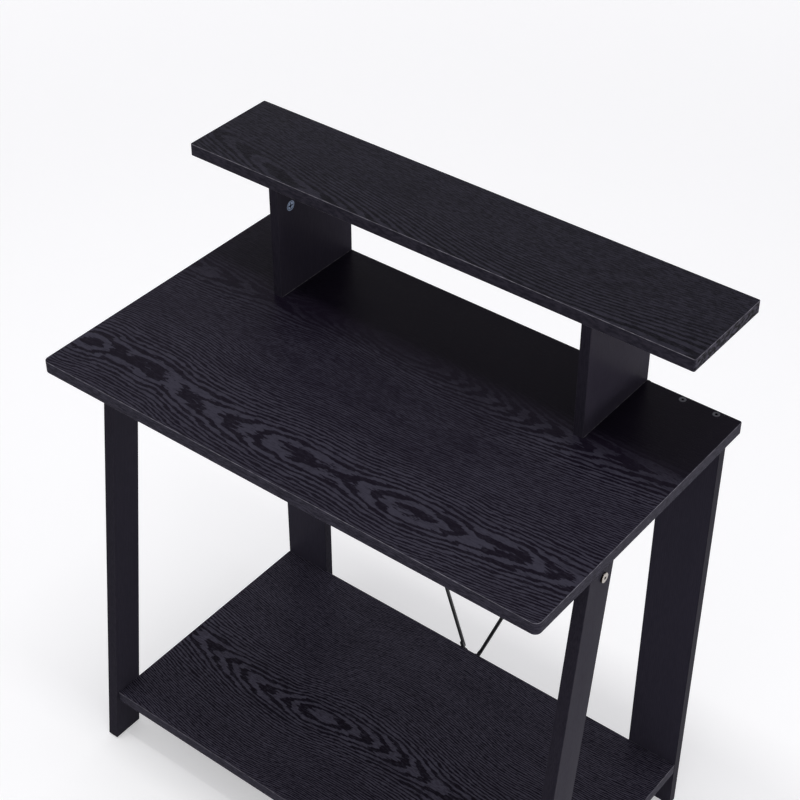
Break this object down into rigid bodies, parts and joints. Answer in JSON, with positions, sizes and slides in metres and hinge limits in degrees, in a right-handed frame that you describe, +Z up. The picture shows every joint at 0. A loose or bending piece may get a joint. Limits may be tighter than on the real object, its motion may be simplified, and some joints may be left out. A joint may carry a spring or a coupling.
{
  "type": "ladder desk",
  "caption": "Narrow wood-grain writing desk on leaning front legs and flat rear legs, with a raised monitor shelf, a low shelf and thin slanted brace rods behind.",
  "frame": {"origin": "on the floor, under the middle of the whole desk with its brace rods", "axes": "+X to the user's right along the desktop, +Y from the user to the rear, +Z up"},
  "size_m": [0.8048, 0.4668, 0.95],
  "materials": {
    "top_board": "black melamine with a fine printed oak grain, satin",
    "leg_board": "black melamine with a straight grain along the board, satin",
    "edge_band": "black edge band with a short fine grain, satin",
    "rod_paint": "black powder coat, satin",
    "black_screw": "black oxide, satin",
    "nickel_bolt": "nickel plated, bright",
    "zinc_cam": "bluish zinc die casting, satin",
    "zinc_steel": "zinc plated, bright",
    "beech": "raw fluted beech",
    "glide_plastic": "black moulded plastic, matt"
  },
  "bodies": {
    "root": {"brace_rod_left": "rod_paint", "brace_rod_right": "rod_paint", "brace_rod_screws": "black_screw", "desktop": "top_board", "desktop_edge_band": "edge_band", "foot_glide_nails": "zinc_steel", "foot_glides": "glide_plastic", "front_leg_left": "leg_board", "front_leg_left_edge_bands": "edge_band", "front_leg_lower_bolts": "nickel_bolt", "front_leg_right": "leg_board", "front_leg_right_edge_bands": "edge_band", "front_leg_upper_bolts": "nickel_bolt", "front_rail": "leg_board", "front_rail_barrel_nuts": "zinc_steel", "front_rail_dowels": "beech", "front_rail_edge_band": "edge_band", "front_rail_screws": "zinc_steel", "lower_shelf": "top_board", "lower_shelf_barrel_nuts": "zinc_steel", "lower_shelf_dowels": "beech", "lower_shelf_edge_band": "edge_band", "monitor_shelf": "top_board", "monitor_shelf_edge_band": "edge_band", "rear_leg_left": "leg_board", "rear_leg_left_edge_bands": "edge_band", "rear_leg_lower_screws": "zinc_steel", "rear_leg_right": "leg_board", "rear_leg_right_edge_bands": "edge_band", "rear_leg_upper_screws": "zinc_steel", "upright_cam_bolts": "zinc_steel", "upright_cam_locks": "zinc_cam", "upright_dowels": "beech", "upright_left": "leg_board", "upright_left_edge_bands": "edge_band", "upright_right": "leg_board", "upright_right_edge_bands": "edge_band", "upright_screws": "zinc_steel"}
  },
  "joints": []
}
